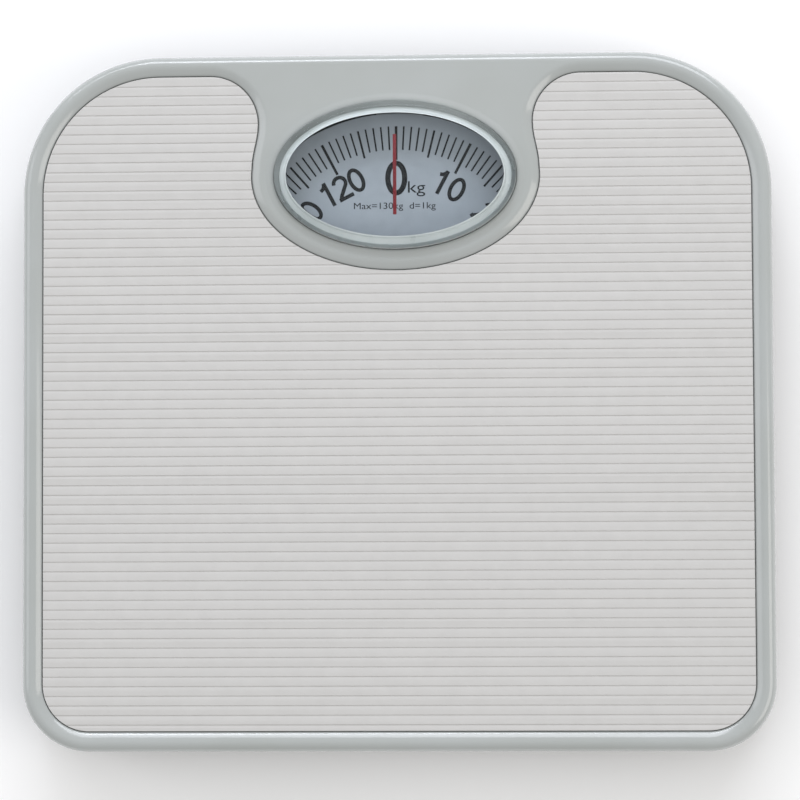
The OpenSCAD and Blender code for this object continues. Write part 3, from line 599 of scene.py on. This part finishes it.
def metal(name, base, deeper, rough, size_mm, stretch=None, depth=0.004):
    """Bare or plated metal: its colour drifts with the grain left by rolling, drawing or turning."""
    m = Maker(name)
    grain = m.noise(size_mm, 4, stretch)
    colour = m.ramp(grain, (0.3, deeper), (0.7, base))
    roughness = m.ramp(m.noise(size_mm * 5, 3), (0.3, rough * 0.8), (0.7, rough * 1.25))
    shader = m.add("BsdfPrincipled", Base_Color=colour, Roughness=roughness, Metallic=1.0,
                   Normal=m.bump(grain, depth))
    return m.finish(shader.outputs["BSDF"])


def plastic(name, base, deeper, rough, size_mm, depth=0.01, spec=0.5):
    """Moulded plastic or rubber: a fine moulded texture, with slight drifts in colour and gloss."""
    m = Maker(name)
    colour = m.ramp(m.noise(size_mm * 12, 3), (0.3, deeper), (0.7, base))
    roughness = m.ramp(m.noise(size_mm * 6, 2), (0.3, rough * 0.88), (0.7, rough * 1.1))
    shader = m.add("BsdfPrincipled", Base_Color=colour, Roughness=roughness,
                   Normal=m.bump(m.noise(size_mm, 2), depth))
    shader.inputs["Specular IOR Level"].default_value = spec
    return m.finish(shader.outputs["BSDF"])


def make_clear():
    """Clear moulded polystyrene with slight flow marks, glossy and free of tint.

    Light for shadows goes straight through, so that the dial below is lit.
    """
    m = Maker("polystyrene_clear_moulded")
    flow = m.bump(m.noise(14, 1, (1, 2.2, 1)), 0.012)
    body = m.add("BsdfPrincipled", Base_Color=linear("f4f8f8"), Normal=flow,
                 Roughness=m.ramp(m.noise(6, 2), (0.35, 0.012), (0.75, 0.03)))
    body.inputs["IOR"].default_value = 1.22
    body.inputs["Transmission Weight"].default_value = 1.0
    through = m.add("BsdfTransparent", Color=linear("f6f9fa"))
    path = m.add("LightPath")
    straight_on = m.add("Math", {"operation": "MAXIMUM"})
    m.tree.links.new(path.outputs["Is Shadow Ray"], straight_on.inputs[0])
    m.tree.links.new(path.outputs["Is Diffuse Ray"], straight_on.inputs[1])
    mix = m.add("MixShader", Fac=straight_on.outputs[0])
    m.tree.links.new(body.outputs["BSDF"], mix.inputs[1])
    m.tree.links.new(through.outputs["BSDF"], mix.inputs[2])
    return m.finish(mix.outputs["Shader"])


# Stoved enamel: a glossy clear-edged sheen over pale grey-green, with a faint orange peel
enamel = painted("steel_stoved_enamel_grey_green", "a7abaa", "a3a7a5", 0.17, 0.018, coat=0.5)
# Embossed vinyl sheet: matt and even, so that only the grooves catch the light
vinyl = plastic("vinyl_sheet_embossed_matt", "c0bfbd", "bdbcba", 0.55, 0.5, 0.012, 0.35)
# Thin dark enamel on the pan: half matt, so that the inside stays quiet
base_paint = painted("steel_enamel_black_semi_matt", "3c3f41", "343739", 0.42, 0.02)
# Moulded rubber: nearly no gloss
rubber = plastic("rubber_moulded_black", "2a2a2b", "232324", 0.7, 0.6, 0.03, 0.3)
# Bright zinc plate on folded brackets: silvery, with cloudy patches
zinc = metal("steel_bright_zinc_plate", "c6c8ca", "b4b6b9", 0.3, 2.5)
# Rolled and oiled lever strip: darker, with a grain along the mill's direction
lever_steel = metal("steel_rolled_oiled", "8d9196", "7c8085", 0.4, 1.2, (1, 0.15, 1))
# Ground pins: clean and shiny, with fine rings
hard_steel = metal("steel_ground_bar", "b0b1b3", "a0a1a4", 0.22, 0.5, (0.2, 1, 1))
# Drawn wire: a dull grey gloss
spring_steel = metal("steel_drawn_spring_wire", "8a8a8c", "77777a", 0.32, 0.4)
# Turned brass: warm yellow with fine tool marks
brass = metal("brass_turned", "c9a860", "b8964e", 0.26, 0.5)
# Moulded acetal: milky white and waxy
acetal = plastic("acetal_moulded_white", "dedfda", "d6d7d2", 0.4, 0.4)
# Moulded ABS: a soft black gloss on the knurled wheel
wheel_black = plastic("abs_moulded_black", "303032", "29292b", 0.38, 0.5)
# Satin lacquer on the aluminium dial: bluish grey, without glare under the lens
dial_paint = plastic("aluminium_satin_lacquer_grey", "a9adb5", "a3a7af", 0.5, 0.4, 0.004, 0.4)
# Screen-printed ink: a flat near-black
ink = plastic("ink_screen_printed_black", "17181c", "121317", 0.55, 0.4, 0.004, 0.3)
# Moulded acrylic line: deep red
pointer_paint = plastic("acrylic_moulded_red", "7c0719", "720615", 0.5, 0.5, 0.004)
clear = make_clear()
# Frosted moulding below the lens's shoulder: a pale ring round the window
frosted = plastic("polystyrene_moulded_frosted", "d6dada", "c6cbcb", 0.3, 1.2, 0.03, 0.5)

BY_SLOT = {
    "cover_enamel": enamel, "mat_vinyl": vinyl, "base_enamel": base_paint, "foot_rubber": rubber,
    "zinc_steel": zinc, "lever_steel": lever_steel, "hard_steel": hard_steel, "spring_steel": spring_steel,
    "brass": brass, "white_acetal": acetal, "wheel_plastic": wheel_black, "dial_grey": dial_paint,
    "lens_clear": clear, "pointer_red": pointer_paint,
}
for part in frame["record"]["subparts"]:
    node = frame["nodes"][part["node"]]
    node.data.materials.clear()
    node.data.materials.append(BY_SLOT[part["material_slot"]])


def place(ob, body, slot, material, *replaced):
    ob.data.materials.clear()
    ob.data.materials.append(material)
    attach(ob, body)
    if replaced:
        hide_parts(*replaced)
    return ob


place(make_cover(), "platform", "cover_enamel", enamel, "platform_cover")
place(make_mat(), "platform", "mat_vinyl", vinyl, "platform_mat")
lens_cap = place(make_lens(), "platform", "lens_clear", clear, "lens")
lens_cap.data.materials.append(frosted)
for face in lens_cap.data.polygons:
    # the step and flange below the shoulder are frosted, all round
    face.material_index = int(face.center.z < 43.9 * MM and len(face.vertices) == 4)
place(make_pointer(), "platform", "pointer_red", pointer_paint, "index_pointer")
for ob in make_print():
    place(ob, "dial", "dial_grey", ink)
for ob in make_springs():
    ob.data.materials.clear()
    ob.data.materials.append(spring_steel)
make_feet()


# ---------- Floor, light and camera ----------

def make_floor():
    m = Maker("floor_painted_white")
    colour = m.ramp(m.noise(300, 2), (0.3, "f6f6f6"), (0.7, "f9f9f9"))
    shader = m.add("BsdfPrincipled", Base_Color=colour, Roughness=0.8)
    deselect_all()
    bpy.ops.mesh.primitive_plane_add(size=6)
    floor = named("studio_floor")
    floor.data.materials.append(m.finish(shader.outputs["BSDF"]))


def soft_light(name, place_mm, aim_mm, size, power, colour):
    data = bpy.data.lights.new(name, "AREA")
    data.shape = "RECTANGLE"
    data.size, data.size_y = size
    data.energy = power
    data.color = linear(colour)[:3]
    ob = bpy.data.objects.new(name, data)
    bpy.context.collection.objects.link(ob)
    ob.location = Vector(place_mm) * MM
    ob.rotation_euler = (Vector(aim_mm) * MM - ob.location).to_track_quat("-Z", "Y").to_euler()


make_floor()
soft_light("window_light", (250, 1700, 1200), (0, 0, 0), (1.7, 0.9), 20, "f4f7ff")
soft_light("left_fill", (-1500, 200, 1000), (0, 0, 0), (1.0, 1.0), 4, "fafbff")
soft_light("window_strip", (-500, 1350, 1000), (0, 0, 0), (1.3, 0.1), 5, "f4f7ff")
soft_light("right_fill", (1500, -500, 1300), (0, 0, 0), (1.2, 1.2), 10, "fffaf4")

world = bpy.data.worlds.new("studio")
bpy.context.scene.world = world
world.use_nodes = True
world.node_tree.nodes["Background"].inputs["Color"].default_value = linear("ececec")
world.node_tree.nodes["Background"].inputs["Strength"].default_value = 0.83
bpy.context.scene.view_settings.view_transform = "Standard"

camera_data = bpy.data.cameras.new("camera")
camera_data.sensor_width = 36
camera_data.lens = 141.2
camera_data.clip_start = 0.05
camera = bpy.data.objects.new("camera", camera_data)
bpy.context.collection.objects.link(camera)
camera.location = Vector((62.25, -62, 1200)) * MM
camera.rotation_euler = (0.0534, 0.0526, -0.0042)
bpy.context.scene.camera = camera
